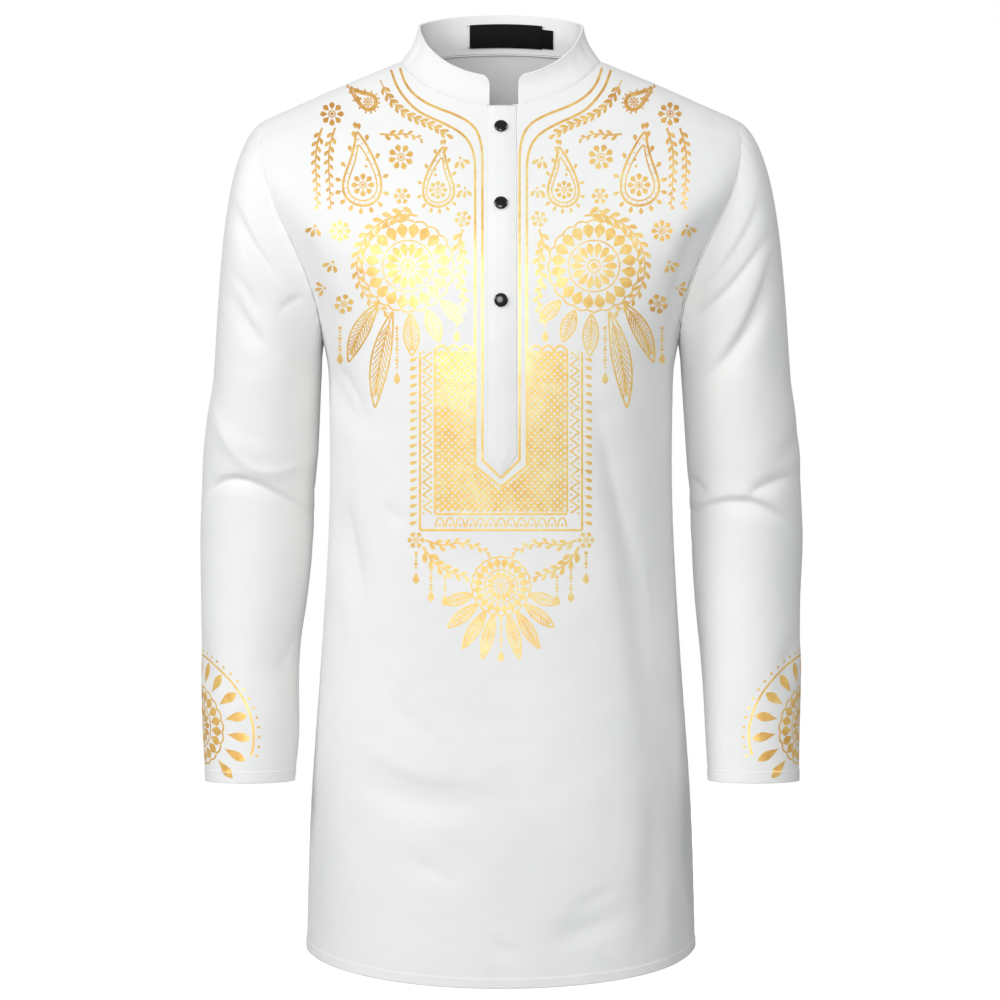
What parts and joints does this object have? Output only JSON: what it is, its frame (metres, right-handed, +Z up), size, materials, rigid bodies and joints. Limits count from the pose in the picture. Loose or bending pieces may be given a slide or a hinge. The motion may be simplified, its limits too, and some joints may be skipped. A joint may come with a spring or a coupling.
{
  "type": "long-sleeve tunic shirt",
  "caption": "White long-sleeve tunic shirt, filled out with no wearer: stand collar, half placket with domed buttons, curved hem, open neck, cuffs and hem.",
  "frame": {"origin": "middle of the neck opening, level with the points where the shoulder seams meet the collar, where the wearer's neck and shoulders hold the shirt", "axes": "+Z up along the trunk, front faces -Y, the wearer's left side is +X"},
  "size_m": [0.5649, 0.2639, 0.8995],
  "materials": {
    "white_cloth": "smooth white shirting with a faint sheen",
    "black_button": "polished black",
    "black_woven": "woven satin tape, blank"
  },
  "bodies": {
    "root": {"front": "white_cloth", "back": "white_cloth", "sleeve_left": "white_cloth", "sleeve_right": "white_cloth", "collar": "white_cloth", "placket_over": "white_cloth", "placket_under": "white_cloth", "button_top": "black_button", "button_middle": "black_button", "button_bottom": "black_button", "neck_label": "black_woven", "size_tab": "black_woven"}
  },
  "joints": []
}
